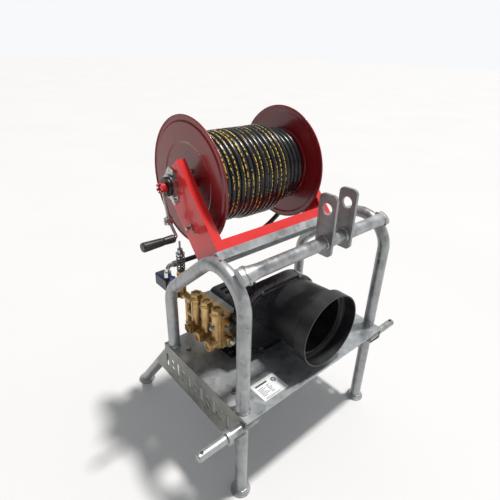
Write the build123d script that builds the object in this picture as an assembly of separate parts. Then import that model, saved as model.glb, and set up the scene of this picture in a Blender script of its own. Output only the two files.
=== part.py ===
from build123d import *
import math
import os

# A high-pressure drain jetter for a tractor's three-point linkage, in millimetres.
# Drawn with X to the tractor's left, -Y towards the tractor, +Z up, the ground at Z = 0
# and Y = 0 on the front legs. finish() then moves it so that the origin is the middle of
# its footprint.

# ---- driving dimensions -------------------------------------------------------------
LEFT_SIDE, RIGHT_SIDE = -1, 1    # the signs that name the two sides
FOOTPRINT_MIDDLE_X = -24.5       # middle of the whole machine across, from the frame's middle
FOOTPRINT_MIDDLE_Y = 332.0       # middle of the whole machine front to back, from the front legs

TUBE_R = 21.2                    # 42.4 mm galvanised tube
TUBE_WALL = 3.2
HOOP_X = 334.0                   # each hoop's plane, either side of the middle
HOOP_DEPTH = 395.0               # front leg to rear leg
HOOP_SLOPE = 41.6                # degrees that the top falls towards the rear
HOOP_SLOPE_Y, HOOP_SLOPE_Z = 196.8, 810.2     # a point on the sloping run's centreline
BEND_R = 110.0

PLATE_TOP = 392.0
PLATE_THICK = 6.0
PLATE_X = 356.0
PLATE_FRONT, PLATE_REAR = -48.0, 424.0
SKIRT_THICK = 3.0

FOOT_R = 35.0
FOOT_THICK = 12.0
REAR_FOOT_Y = 680.0

CROSSBAR_Y, CROSSBAR_Z = 21.0, 856.0
LINK_PLATE_X = (3.0, 99.0)
LINK_PLATE_THICK = 10.0
LINK_PLATE_WIDE = 65.0
LINK_HOLE_R = 18.5
LINK_HOLE_Z = 968.0
LINK_PLATE_TOP, LINK_PLATE_BOTTOM = 1014.0, 815.0

HITCH_R = 14.0                   # category 2 lower-link pin
HITCH_ROOT_R = 15.0              # the pin where it passes through the skirt
HITCH_Y, HITCH_Z = -28.0, 358.5
HITCH_LEFT_END, HITCH_RIGHT_END = -520.0, 471.0

STAND_Y, STAND_Z = 151.3, 871.3  # front lower corner of the reel stand's base
STAND_LEFT, STAND_RIGHT = -309.0, 192.0
STAND_DEPTH = 124.0
STAND_FLANGE = 30.0
STAND_THICK = 4.0
UPRIGHT_TALL = 296.0
CHANNEL_TALL = 26.0

REEL_Y, REEL_Z = 378.0, 1007.0   # the reel's axis
DISC_R = 204.0
DISC_LEFT, DISC_RIGHT = -252.0, 150.0
DRUM_R = 60.0
BEARING_R = 30.0
BEARING_PROUD = {LEFT_SIDE: 26.0, RIGHT_SIDE: 8.0}
SHAFT_R = 15.0
SHAFT_LEFT, SHAFT_RIGHT = -357.0, 222.0
HOSE_OUTER_R = 149.0
HOSE_LOWER_R = 130.0
HOSE_STEP_X = 58.0

BRAKE_Y, BRAKE_Z = 280.0, 902.0    # the reel brake's plunger, which runs along X
BRAKE_R = 5.0
BRAKE_TIP = -268.0
BRAKE_STROKE = 11.1               # pressed in, its tip bears on the disc's raised ring

CRANK_X = -344.0
CRANK_ELBOW = (352.0, 909.0)     # Y, Z of the joint block on the crank arm
CRANK_END = (311.0, 867.0)       # Y, Z of the grip's axis
GRIP_START, GRIP_END = -353.0, -460.0
SPINDLE_R = 5.0

PTO_X, PTO_Z = 9.0, 552.0        # the input shaft's axis, which runs along Y
PUMP_X = -105.0                  # the pump crankshaft's axis, level with the input shaft
CASE_R = 125.0
CASE_FRONT, CASE_REAR = 134.0, 190.0
GEAR_MODULE = 4.0
GEAR_TEETH = 42
PINION_TEETH = 15
GUARD_FRONT = -48.0
GUARD_R = 132.5

PUMP_FRONT, PUMP_REAR = 190.0, 372.0
CRANKCASE_LEFT, CRANKCASE_RIGHT = -195.0, -20.0
CRANKCASE_BOTTOM, CRANKCASE_TOP = 450.0, 600.0
CYLINDER_Y = (224.0, 285.0, 346.0)
COLUMN_X = -260.0
COLUMN_R = 20.5
PLUNGER_Z = 540.0
SUCTION_Z = 477.0

UNLOADER_X, UNLOADER_Y = -262.0, 437.0
VALVE_BLOCK_FRONT, VALVE_BLOCK_REAR = 520.0, 600.0

MIN_Z = (Align.CENTER, Align.CENTER, Align.MIN)
UP = (0, 0, 1)
DOWN = (0, 0, -1)
RIGHT = (1, 0, 0)
LEFT = (-1, 0, 0)
BACK = (0, 1, 0)
FORWARD = (0, -1, 0)


# ---- small shapes -------------------------------------------------------------------
def rod(start, direction, radius, length):
    """A round bar from start along direction."""
    return Plane(origin=start, z_dir=direction) * Cylinder(radius, length, align=MIN_Z)


def pipe(start, direction, outer, inner, length):
    """A round bar with a round hole right through it."""
    bore = rod(start, direction, inner, length)
    return rod(start, direction, outer, length) - bore


def hexagon(start, direction, across, length):
    """A hexagonal bar, measured across its flats."""
    face = Plane(origin=start, z_dir=direction) * RegularPolygon(across / 2, 6, major_radius=False)
    return extrude(face, length)


def block(x0, x1, y0, y1, z0, z1):
    """A box between two corners."""
    return Pos((x0 + x1) / 2, (y0 + y1) / 2, (z0 + z1) / 2) * Box(x1 - x0, y1 - y0, z1 - z0)


def plate_x(points, x, thick):
    """A flat plate across X, from its outline in Y and Z."""
    face = make_face(Polyline(*[(x, y, z) for y, z in points], close=True))
    return extrude(face, thick, dir=RIGHT)


def swept(points, radii, outer, inner=0.0):
    """A round tube or bar along straight runs joined by arcs."""
    path = FilletPolyline(*points, radius=radii)
    section = Circle(outer) - Circle(inner) if inner else Circle(outer)
    return sweep(Plane(origin=path @ 0, z_dir=path % 0) * section, path=path)


def bolt(start, direction, thread, length):
    """A hexagon bolt: start is under its head, direction points out of the head."""
    head = hexagon(start, direction, thread * 1.7, thread * 0.65)
    back = tuple(-value for value in direction)
    return head + rod(start, back, thread / 2, length)


def group(solids):
    """Several separate solids that share one node."""
    return Compound(children=[item.solid() for item in solids])


def on_stand(x, along, out):
    """A point on the reel stand: along runs down the slope to the rear, out square off it."""
    slope = math.radians(HOOP_SLOPE)
    y = STAND_Y + along * math.cos(slope) + out * math.sin(slope)
    z = STAND_Z - along * math.sin(slope) + out * math.cos(slope)
    return (x, y, z)


def stand_plate(outline, x, thick):
    """A plate across X whose outline is given in the stand's along and out."""
    points = [on_stand(x, along, out)[1:] for along, out in outline]
    return plate_x(points, x, thick)


def stand_block(x0, x1, along0, along1, out0, out1):
    """A box set square to the stand's slope."""
    outline = [(along0, out0), (along1, out0), (along1, out1), (along0, out1)]
    return stand_plate(outline, x0, x1 - x0)


OUT = tuple(b - a for a, b in zip(on_stand(0, 0, 0), on_stand(0, 0, 1)))
INTO = tuple(-value for value in OUT)


# ---- welded frame -------------------------------------------------------------------
def hoop_points(x):
    """Corners of a hoop's centreline, from the front foot to the platform at the rear."""
    fall = math.tan(math.radians(HOOP_SLOPE))
    front_z = HOOP_SLOPE_Z + HOOP_SLOPE_Y * fall
    rear_z = HOOP_SLOPE_Z - (HOOP_DEPTH - HOOP_SLOPE_Y) * fall
    return [(x, 0, FOOT_THICK), (x, 0, front_z), (x, HOOP_DEPTH, rear_z), (x, HOOP_DEPTH, PLATE_TOP)]


def hoop(x):
    tube = swept(hoop_points(x), BEND_R, TUBE_R, TUBE_R - TUBE_WALL)
    vent = rod((x, 105, HOOP_SLOPE_Z), UP, 4, 80)
    return tube - vent


def rear_leg(x):
    """The splayed lower leg, cut flush with the platform and the foot."""
    top = Vector(x, HOOP_DEPTH, PLATE_TOP - PLATE_THICK)
    run = Vector(x, REAR_FOOT_Y, FOOT_THICK) - top
    start = top - run * 0.2
    leg = pipe(tuple(start), tuple(run), TUBE_R, TUBE_R - TUBE_WALL, run.length * 1.4)
    return leg & block(x - 60, x + 60, 200, 900, FOOT_THICK, PLATE_TOP - PLATE_THICK)


def foot(x, y):
    """A dished foot plate."""
    pad = Pos(x, y, 0) * Cylinder(FOOT_R, 5, align=MIN_Z)
    dome = Pos(x, y, 5) * Cone(FOOT_R - 2, TUBE_R + 3, FOOT_THICK - 5, align=MIN_Z)
    return pad + dome


def platform():
    plate = block(-PLATE_X, PLATE_X, PLATE_FRONT, PLATE_REAR, PLATE_TOP - PLATE_THICK, PLATE_TOP)
    for x in (-HOOP_X, HOOP_X):
        plate -= rod((x, 0, PLATE_TOP - 20), UP, TUBE_R, 40)
    return plate


SKIRT_OUTLINE = [(-45, 392), (426, 392), (426, 360), (504, 258), (498, 246), (22, 238), (-45, 343)]
SKIRT_SLOTS = 11


def skirt(side):
    """A side plate with a row of cut-outs, alternately tall slots and pairs of round holes."""
    x = PLATE_X if side > 0 else -PLATE_X - SKIRT_THICK
    panel = plate_x(SKIRT_OUTLINE, x, SKIRT_THICK)
    for index in range(SKIRT_SLOTS):
        y = 42 + index * 37
        if index % 2:
            for z in (301, 333):
                panel -= rod((x - 5, y, z), RIGHT, 9, 20)
        else:
            cut = Plane(origin=(x - 5, y, 317), x_dir=(0, 0, 1), z_dir=RIGHT) * SlotOverall(62, 15)
            panel -= extrude(cut, 20)
    return panel - rod((x - 5, HITCH_Y, HITCH_Z), RIGHT, HITCH_ROOT_R, 20)


def crossbar():
    """The front cross tube, its ends pressed flatter and welded to the hoops' bends."""
    straight = 262.0
    end = HOOP_X + 2
    lean = math.atan2(CROSSBAR_Z - hoop_bend_z(), CROSSBAR_Y - BEND_R)
    bar = rod((-straight, CROSSBAR_Y, CROSSBAR_Z), RIGHT, TUBE_R, 2 * straight)
    for side, hoop_x in ((-1, -HOOP_X), (1, HOOP_X)):
        wide = (0, -math.sin(lean), math.cos(lean))
        inner = Plane(origin=(side * straight, CROSSBAR_Y, CROSSBAR_Z), x_dir=wide, z_dir=(side, 0, 0))
        outer = Plane(origin=(side * end, CROSSBAR_Y, CROSSBAR_Z), x_dir=wide, z_dir=(side, 0, 0))
        pressed = loft([inner * Ellipse(TUBE_R - 0.4, TUBE_R - 0.5), outer * Ellipse(27, 15)])
        bar += pressed - filled_hoop(hoop_x)
    return bar - rod((20 - straight, CROSSBAR_Y, CROSSBAR_Z), RIGHT, TUBE_R - TUBE_WALL, 2 * straight - 40)


def hoop_bend_z():
    """Height of the front bend's centre."""
    turn = math.radians(90 + HOOP_SLOPE)
    corner = hoop_points(0)[1][2]
    return corner - BEND_R * math.tan(turn / 2)


def filled_hoop(x):
    return swept(hoop_points(x), BEND_R, TUBE_R)


def link_plates():
    """The two ears for the tractor's top link."""
    ears = []
    half = LINK_PLATE_WIDE / 2
    for x in LINK_PLATE_X:
        outline = Plane(origin=(x, CROSSBAR_Y, 0), x_dir=BACK, z_dir=RIGHT)
        middle = (LINK_PLATE_TOP + LINK_PLATE_BOTTOM) / 2
        tall = LINK_PLATE_TOP - LINK_PLATE_BOTTOM
        face = outline * Pos(0, middle) * RectangleRounded(2 * half, tall, 17)
        ear = extrude(face, LINK_PLATE_THICK / 2, both=True)
        ear -= rod((x - 20, CROSSBAR_Y, LINK_HOLE_Z), RIGHT, LINK_HOLE_R, 40)
        ear -= rod((x - 20, CROSSBAR_Y, CROSSBAR_Z), RIGHT, TUBE_R, 40)
        ears.append(ear)
    return group(ears)


def hitch_pin(side):
    """A lower-link pin let into the front leg, with a linchpin hole. The left one has a collar."""
    end = HITCH_LEFT_END if side < 0 else HITCH_RIGHT_END
    start = side * 300.0
    pin = rod((start, HITCH_Y, HITCH_Z), (side, 0, 0), HITCH_R, abs(end - start))
    pin = chamfer(pin.edges().filter_by(GeomType.CIRCLE).sort_by(Axis.X)[0 if side < 0 else -1], 2.5)
    pin -= rod((end - side * 14, HITCH_Y, HITCH_Z - 20), UP, 6, 40)
    pin += rod((start, HITCH_Y, HITCH_Z), (side, 0, 0), HITCH_ROOT_R, PLATE_X + SKIRT_THICK - abs(start))
    if side < 0:
        pin += rod((-420, HITCH_Y, HITCH_Z), RIGHT, 23, 12)
    return pin - rod((side * HOOP_X, 0, 300), UP, TUBE_R, 100)


def weld_beads():
    """The weld round each leg where it meets the platform."""
    beads = []
    for x in (-HOOP_X, HOOP_X):
        for y in (0, HOOP_DEPTH):
            cone = Pos(x, y, PLATE_TOP) * Cone(TUBE_R + 6, TUBE_R + 0.4, 7, align=MIN_Z)
            bead = cone - rod((x, y, PLATE_TOP), UP, TUBE_R, 10)
            side_x = PLATE_X if x > 0 else -PLATE_X - SKIRT_THICK
            beads.append(bead & block(min(x - 60, side_x), max(x + 60, side_x), -60, 480, 390, 410))
    return group(beads)


# ---- reel stand ---------------------------------------------------------------------
def reel_channel():
    """The galvanised channel between the hoops that carries the reel stand."""
    half = HOOP_X - TUBE_R + 1.5
    outer = stand_block(-half, half, 0, STAND_DEPTH - 2, -CHANNEL_TALL, 0)
    inner = stand_block(-half, half, 4, STAND_DEPTH - 6, -CHANNEL_TALL, -4)
    channel = outer - inner - filled_hoop(-HOOP_X) - filled_hoop(HOOP_X)
    for x in (-215.0, 100.0):
        channel -= rod(on_stand(x, STAND_DEPTH / 2, -20), OUT, 5, 40)
    return channel


def reel_stand():
    """One folded red stand: a base, two webs and a front flange all the way round."""
    left, right = STAND_LEFT, STAND_RIGHT
    thick = STAND_THICK
    stand = stand_block(left, right, 0, STAND_DEPTH, 0, thick)
    stand += stand_block(left, right, 0, thick, 0, STAND_FLANGE)
    tall = UPRIGHT_TALL
    web = [(0, 0), (STAND_DEPTH, 0), (STAND_DEPTH, tall - 30), (STAND_DEPTH - 30, tall), (0, tall)]
    for x in (left, right - thick):
        stand += stand_plate(web, x, thick)
    stand += stand_block(left, left + STAND_FLANGE, 0, thick, 0, tall)
    stand += stand_block(right - STAND_FLANGE, right, 0, thick, 0, tall)
    for x in (left - 5, right - 5 - thick):
        stand -= rod((x, REEL_Y, REEL_Z), RIGHT, 27, 20)
    for x in (-215.0, 100.0):
        stand -= rod(on_stand(x, STAND_DEPTH / 2, -20), OUT, 5, 40)
    for y, z in bearing_bolt_spots():
        for x in (left - 5, right - 5 - thick):
            stand -= rod((x, y, z), RIGHT, 4.5, 20)
    return stand - rod((left - 10, BRAKE_Y, BRAKE_Z), RIGHT, BRAKE_R + 1.1, 20)


def bearing_bolt_spots():
    """Y and Z of the two flange bolts, above and below the axis."""
    return [(REEL_Y - 14, REEL_Z + up) for up in (44, -44)]


def bearing_sides():
    """X of each web's outer face, the way out of it, and how far the bearing stands proud."""
    return [(STAND_LEFT, LEFT, BEARING_PROUD[LEFT_SIDE]), (STAND_RIGHT, RIGHT, BEARING_PROUD[RIGHT_SIDE])]


FLANGE_CORNERS = [(14, 58), (-26, 48), (-34, -38), (-10, -62), (64, -8)]


def bearing_flanges():
    """Pressed two-bolt flanges on the outside of each web, drawn out to a point at the rear."""
    flanges = []
    for x, out, proud in bearing_sides():
        corners = [(REEL_Y + dy, REEL_Z + dz) for dy, dz in FLANGE_CORNERS]
        plate = plate_x(corners, min(x, x + out[0] * 3.5), 3.5)
        plate = fillet(plate.edges().filter_by(Axis.X), 7)
        plate += rod((x, REEL_Y, REEL_Z), out, BEARING_R + 6, min(16.0, proud))
        plate -= rod((x, REEL_Y, REEL_Z), out, BEARING_R, proud + 10)
        for y, z in bearing_bolt_spots():
            plate -= rod((x, y, z), out, 4.5, 10)
        flanges.append(plate)
    return group(flanges)


def bearing_inserts():
    """The bearings themselves, in which the reel's shaft runs."""
    inserts = []
    for x, out, proud in bearing_sides():
        insert = pipe((x, REEL_Y, REEL_Z), out, BEARING_R, SHAFT_R + 0.05, proud)
        rims = insert.edges().filter_by(GeomType.CIRCLE).filter_by(lambda edge: edge.radius > SHAFT_R + 1)
        inserts.append(chamfer(rims.sort_by(Axis.X)[0 if out[0] < 0 else -1], 2))
    return group(inserts)


def bearing_bolts():
    """Flange bolts with their nuts behind the web."""
    bolts = []
    for x, out in ((STAND_LEFT, LEFT), (STAND_RIGHT, RIGHT)):
        for y, z in bearing_bolt_spots():
            head = (x + out[0] * 3.5, y, z)
            inside = (x - out[0] * STAND_THICK, y, z)
            piece = bolt(head, out, 9, 3.5 + STAND_THICK)
            piece += hexagon(inside, (-out[0], 0, 0), 15, 6)
            bolts.append(piece)
    return group(bolts)


def stand_bolts():
    """Bolts through the stand's base and the channel."""
    bolts = []
    for x in (-215.0, 100.0):
        head = on_stand(x, STAND_DEPTH / 2, STAND_THICK)
        piece = bolt(head, OUT, 10, STAND_THICK + 4)
        piece += hexagon(on_stand(x, STAND_DEPTH / 2, -4), INTO, 17, 7)
        bolts.append(piece)
    return group(bolts)


def brake_housing():
    """The flanged sleeve that guides the reel brake's plunger, with its bent wire clip."""
    bore = BRAKE_R + 0.05
    inner_face = (STAND_LEFT + STAND_THICK, BRAKE_Y, BRAKE_Z)
    sleeve = pipe((STAND_LEFT, BRAKE_Y, BRAKE_Z), LEFT, BRAKE_R + 4, bore, 4.5)
    sleeve += pipe(inner_face, LEFT, BRAKE_R + 1, bore, STAND_THICK)
    wire_x = STAND_LEFT - 2.5
    wire = [(wire_x, BRAKE_Y - 6, BRAKE_Z - 5), (wire_x, 262, 888), (wire_x, 243, 896)]
    return sleeve + swept(wire, 5, 1.2)


def brake_plunger():
    """The plunger, drawn out, with its small cross handle."""
    knob_x = STAND_LEFT - 4.5 - BRAKE_STROKE - 0.5
    pin = rod((BRAKE_TIP, BRAKE_Y, BRAKE_Z), LEFT, BRAKE_R, BRAKE_TIP - knob_x + 4.5)
    handle = (0, 0.54, 0.84)
    half = 12.0
    start = (knob_x - 2.2, BRAKE_Y - handle[1] * half, BRAKE_Z - handle[2] * half)
    return pin + rod(start, handle, 2, 2 * half)


# ---- reel ---------------------------------------------------------------------------
def reel_shaft():
    """A hollow shaft with a notched drive end, a cross hole for the crank and a swivel spigot."""
    shaft = rod((SHAFT_LEFT, REEL_Y, REEL_Z), RIGHT, SHAFT_R, SHAFT_RIGHT - SHAFT_LEFT)
    shaft -= rod((SHAFT_LEFT, REEL_Y, REEL_Z), RIGHT, SHAFT_R - 5, 40)
    for turn in (0, 60, 120):
        notch = Pos(SHAFT_LEFT, REEL_Y, REEL_Z) * Rot(turn, 0, 0) * Box(12, 60, 7)
        shaft -= notch
    shaft -= rod((CRANK_X, REEL_Y, REEL_Z), crank_direction(), SPINDLE_R, 40)
    return shaft


def crank_direction():
    y, z = CRANK_ELBOW
    return (0, y - REEL_Y, z - REEL_Z)


def reel_drum():
    return pipe((DISC_LEFT + 1.5, REEL_Y, REEL_Z), RIGHT, DRUM_R, DRUM_R - 3, DISC_RIGHT - DISC_LEFT - 3)


def disc(x, side):
    """A pressed disc: a web with a raised ring, and a rolled rim. side points outwards."""
    thick = 1.5
    step = 3.0 * side
    rim = 3.0
    r = DISC_R
    outline = [(0, SHAFT_R), (0, 121), (step, 127), (step, 182), (0, 188), (0, r - rim)]
    line = [(x + dx, radius) for dx, radius in outline]
    back = [(x + dx + side * thick, radius) for dx, radius in reversed(outline)]
    face = make_face(Polyline(*[(px, REEL_Y, REEL_Z + pr) for px, pr in line + back], close=True))
    axis = Axis((x, REEL_Y, REEL_Z), RIGHT)
    web = revolve(face, axis)
    bead = Plane(origin=(x + side * thick, REEL_Y, REEL_Z), z_dir=RIGHT) * Torus(r - rim, rim)
    return web + bead


def disc_with_holes(x, side):
    panel = disc(x, side)
    for turn in range(0, 360, 60):
        panel -= disc_hole(x, turn, 46, 4.5)
    return panel


def disc_hole(x, turn, reach, radius):
    angle = math.radians(turn)
    y, z = REEL_Y + reach * math.cos(angle), REEL_Z + reach * math.sin(angle)
    return rod((x - 15, y, z), RIGHT, radius, 30)


def disc_bolts():
    """Six bolts hold each disc to the drum's inner flange."""
    bolts = []
    for x, out, side in ((DISC_LEFT, LEFT, -1), (DISC_RIGHT, RIGHT, 1)):
        for turn in range(0, 360, 60):
            angle = math.radians(turn)
            y, z = REEL_Y + 46 * math.cos(angle), REEL_Z + 46 * math.sin(angle)
            bolts.append(bolt((x + side * 1.5, y, z), out, 8, 10))
    return group(bolts)


def drum_flanges():
    """Rings inside the drum's ends that the discs bolt to."""
    rings = []
    for x, into in ((DISC_LEFT, RIGHT), (DISC_RIGHT, LEFT)):
        ring = pipe((x, REEL_Y, REEL_Z), into, DRUM_R - 3, SHAFT_R, 8)
        for turn in range(0, 360, 60):
            ring -= disc_hole(x, turn, 46, 4)
        rings.append(ring)
    return rings


def hose_pack():
    """The wound delivery hose as one closed shape, a layer lower at its unfinished end."""
    left, right = DISC_LEFT + 1.5, DISC_RIGHT - 1.5
    full = pipe((left, REEL_Y, REEL_Z), RIGHT, HOSE_OUTER_R, DRUM_R, HOSE_STEP_X - left)
    low = pipe((HOSE_STEP_X, REEL_Y, REEL_Z), RIGHT, HOSE_LOWER_R, DRUM_R, right - HOSE_STEP_X)
    return full + low


def crank_arm():
    """The upper rod, pushed through the shaft's cross hole."""
    y, z = CRANK_ELBOW
    reach = math.hypot(y - REEL_Y, z - REEL_Z)
    return rod((CRANK_X, REEL_Y, REEL_Z), crank_direction(), SPINDLE_R, reach - 8)


def crank_joint():
    """The clamp block where the crank's reach is set, with its wing screw."""
    y, z = CRANK_ELBOW
    body = Pos(CRANK_X, y, z) * Box(16, 18, 26)
    body = fillet(body.edges().filter_by(Axis.X), 4)
    screw = rod((CRANK_X - 8, y, z), LEFT, 5, 8)
    wing = Pos(CRANK_X - 14, y, z) * Box(3, 9, 22)
    cut = rod((CRANK_X, REEL_Y, REEL_Z), crank_direction(), SPINDLE_R, math.hypot(y - REEL_Y, z - REEL_Z) - 8)
    return body + screw + wing - cut - crank_rod()


def crank_rod():
    y, z = CRANK_ELBOW
    end_y, end_z = CRANK_END
    dy, dz = end_y - y, end_z - z
    start = (CRANK_X, y + dy * 0.05, z + dz * 0.05)
    points = [start, (CRANK_X, end_y, end_z), (GRIP_END + 14, end_y, end_z)]
    return swept(points, 9, SPINDLE_R)


def crank_grip():
    """A black grip that turns on the crank's bent end."""
    y, z = CRANK_END
    long = abs(GRIP_END - GRIP_START)
    profile = [(0, 0), (0, 11), (4, 13), (34, 12), (38, 11), (42, 12.5), (long - 5, 15), (long, 13), (long, 0)]
    points = [(GRIP_START - along, y, z + radius) for along, radius in profile]
    solid = revolve(make_face(Polyline(*points, close=True)), Axis((0, y, z), RIGHT))
    return solid - rod((GRIP_START, y, z), LEFT, SPINDLE_R + 0.08, long - 12)


def swivel():
    """The water swivel on the shaft's right end, with a lower outlet for the feed hose."""
    x = SHAFT_RIGHT - 20
    body = pipe((x, REEL_Y, REEL_Z), RIGHT, 21, SHAFT_R + 0.05, 21)
    body += rod((x + 21, REEL_Y, REEL_Z), RIGHT, 21, 14)
    body += hexagon((x + 35, REEL_Y, REEL_Z), RIGHT, 26, 6)
    body += rod((x + 25, REEL_Y, REEL_Z - 15), DOWN, 9, 16)
    return body


def feed_fittings():
    """Crimped hose ends: one on the swivel, one on the valve block's elbow."""
    upper = hexagon((SHAFT_RIGHT + 5, REEL_Y, REEL_Z - 31), DOWN, 24, 14)
    upper += rod((SHAFT_RIGHT + 5, REEL_Y, REEL_Z - 45), DOWN, 11.5, 30)
    x, y, z = elbow_end()
    lower = hexagon((x, y, z), RIGHT, 24, 12)
    lower += rod((x + 12, y, z), RIGHT, 11.5, 26)
    return group([upper, lower])


# Route of the feed hose, from the elbow by the pump up to the swivel, with each arc's radius.
FEED_ROUTE = [
    (-199, 538, 637), (-90, 538, 637), (30, 490, 655), (130, 430, 720), (205, 400, 800),
    (227, 378, 870), (227, 378, 932),
]
FEED_HOSE_R = 9.5


def feed_radii(route):
    """Arc radii: each takes 0.45 of the shorter neighbouring run."""
    radii = []
    for before, here, after in zip(route, route[1:], route[2:]):
        run_in = Vector(*here) - Vector(*before)
        run_out = Vector(*after) - Vector(*here)
        turn = math.radians(run_in.get_angle(run_out))
        radii.append(0.45 * min(run_in.length, run_out.length) / math.tan(turn / 2))
    return radii


def feed_hose():
    radii = feed_radii(FEED_ROUTE)
    print("feed hose arc radii", [round(value) for value in radii])
    hose = swept(FEED_ROUTE, radii, FEED_HOSE_R)
    path = FilletPolyline(*FEED_ROUTE, radius=radii)
    print("feed hose length", round(path.length), "volume check",
          round(hose.volume / (math.pi * FEED_HOSE_R ** 2 * path.length), 3))
    return hose


# ---- drive --------------------------------------------------------------------------
def case_outline(radius):
    """The gearbox's long round outline, over both shafts."""
    middle = (PTO_X + PUMP_X) / 2
    long = PTO_X - PUMP_X + 2 * radius
    return Plane(origin=(middle, 0, PTO_Z), x_dir=RIGHT, z_dir=BACK) * SlotOverall(long, 2 * radius)


def case_slice(radius, y0, y1):
    return Pos(0, y0, 0) * extrude(case_outline(radius), y1 - y0)


def gearbox_case():
    """The rear half of the step-up gearbox, with its foot."""
    case = case_slice(CASE_R, CASE_FRONT + 16, CASE_REAR)
    case -= case_slice(CASE_R - 8, CASE_FRONT + 16, CASE_REAR - 8)
    case += block(-90, 60, CASE_FRONT + 20, CASE_REAR, PLATE_TOP, PTO_Z - CASE_R + 3)
    case -= rod((PUMP_X, CASE_REAR - 10, PTO_Z), BACK, 17.5, 20)
    case += rod((PTO_X, CASE_REAR - 8, PTO_Z), BACK, 27, 14)
    return case - rod((PTO_X, CASE_REAR - 10, PTO_Z), BACK, 17.55, 12)


def gearbox_cover():
    """The front cover, a little proud of the case, with the input shaft's boss."""
    cover = case_slice(CASE_R, CASE_FRONT + 4, CASE_FRONT + 16)
    cover += case_slice(CASE_R - 12, CASE_FRONT, CASE_FRONT + 4)
    cover += rod((PTO_X, CASE_FRONT - 16, PTO_Z), BACK, 40, 16)
    cover -= rod((PTO_X, CASE_FRONT - 20, PTO_Z), BACK, 17.55, 40)
    return cover - rod((PUMP_X, CASE_FRONT + 8, PTO_Z), BACK, 13.05, 12)


def cover_bolts():
    """Bolts round the cover's edge."""
    bolts = []
    reach = CASE_R - 5
    spots = []
    for turn in (-75, -38, 0, 38, 75):
        angle = math.radians(turn)
        spots.append((PTO_X + reach * math.cos(angle), PTO_Z + reach * math.sin(angle)))
        spots.append((PUMP_X - reach * math.cos(angle), PTO_Z + reach * math.sin(angle)))
    for x, z in spots:
        bolts.append(hexagon((x, CASE_FRONT + 4, z), FORWARD, 11, 5))
    return group(bolts)


def involute_gear(teeth, bore, wide, x, y, first_turn):
    """A spur gear about an axis along Y, with involute teeth and a little backlash."""
    pitch = GEAR_MODULE * teeth / 2
    base = pitch * math.cos(math.radians(20))
    tip = pitch + GEAR_MODULE * 0.92
    root = pitch - GEAR_MODULE * 1.2
    half = math.pi / 2 / teeth - 0.10 / pitch
    inv_pitch = math.tan(math.radians(20)) - math.radians(20)
    flank = []
    steps = 5
    start = max(base, root)
    for step in range(steps + 1):
        radius = start + (tip - start) * step / steps
        pressure = math.acos(min(1.0, base / radius))
        flank.append((radius, half + inv_pitch - (math.tan(pressure) - pressure)))
    points = []
    for tooth in range(teeth):
        middle = 2 * math.pi * tooth / teeth + math.radians(first_turn)
        right = [(root, flank[0][1])] + flank if root < start else flank
        outline = [(r, middle - a) for r, a in right] + [(r, middle + a) for r, a in reversed(right)]
        points += [(r * math.cos(a), r * math.sin(a)) for r, a in outline]
    plane = Plane(origin=(x, y, PTO_Z), x_dir=RIGHT, z_dir=FORWARD)
    face = plane * make_face(Polyline(*points, close=True))
    return extrude(face, -wide) - rod((x, y - 1, PTO_Z), BACK, bore, wide + 2)


def input_gear():
    return involute_gear(GEAR_TEETH, 17.5, 22, PTO_X, CASE_FRONT + 19, 180)


def pinion():
    return involute_gear(PINION_TEETH, 13, 22, PUMP_X, CASE_FRONT + 19, 180 / PINION_TEETH)


def input_shaft():
    """The power take-off stub: six splines outside, plain journals inside."""
    shaft = rod((PTO_X, CASE_FRONT - 16, PTO_Z), BACK, 17.5, CASE_REAR + 2 - CASE_FRONT + 16)
    shaft += rod((PTO_X, 44, PTO_Z), BACK, 14.5, CASE_FRONT - 16 - 44)
    for turn in range(0, 360, 60):
        shaft += Pos(PTO_X, 44 + 35, PTO_Z) * Rot(0, turn, 0) * Pos(15.3, 0, 0) * Box(4.3, 70, 8.6)
    return shaft


def pump_crankshaft():
    """The pump's crankshaft, drawn as its plain journal."""
    shaft = rod((PUMP_X, CASE_FRONT + 9, PTO_Z), BACK, 13, CASE_REAR - CASE_FRONT)
    shaft += rod((PUMP_X, CASE_REAR + 9, PTO_Z), BACK, 17, PUMP_REAR - CASE_REAR - 44)
    return shaft


def pto_guard():
    """The black guard over the input shaft: a tube with a wider mouth."""
    y_back = CASE_FRONT
    profile = [
        (GUARD_FRONT, GUARD_R), (-2, GUARD_R), (2, GUARD_R - 5), (6, 122), (y_back, 113),
        (y_back, 78), (y_back - 4, 78), (y_back - 4, 109), (4, 118), (-1, 121), (-4, GUARD_R - 4),
        (GUARD_FRONT, GUARD_R - 4),
    ]
    points = [(PTO_X, y, PTO_Z + radius) for y, radius in profile]
    guard = revolve(make_face(Polyline(*points, close=True)), Axis((PTO_X, 0, PTO_Z), BACK))
    return guard


def guard_ring():
    """The bright ring inside the guard's mouth and the four screws that hold the guard."""
    ring = pipe((PTO_X, 8, PTO_Z), BACK, 117.3, 111, 5)
    screws = []
    for turn in range(45, 405, 90):
        angle = math.radians(turn)
        x, z = PTO_X + 90 * math.cos(angle), PTO_Z + 90 * math.sin(angle)
        screws.append(hexagon((x, CASE_FRONT - 4, z), FORWARD, 13, 5))
    return group([ring] + screws)


# ---- pump ---------------------------------------------------------------------------
def crankcase():
    """The pump's oil-filled crankcase, with ribs on top."""
    case = block(CRANKCASE_LEFT, CRANKCASE_RIGHT, CASE_REAR, PUMP_REAR - 12, CRANKCASE_BOTTOM, CRANKCASE_TOP)
    case = fillet(case.edges().filter_by(Axis.Y), 22)
    case -= rod((PUMP_X, CASE_REAR - 1, PTO_Z), BACK, 17.5, PUMP_REAR - CASE_REAR - 30)
    for index in range(5):
        y = CASE_REAR + 22 + index * 29
        case += block(CRANKCASE_LEFT + 30, CRANKCASE_RIGHT - 30, y, y + 5, CRANKCASE_TOP - 4, CRANKCASE_TOP + 5)
    return case - oil_neck()


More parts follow.
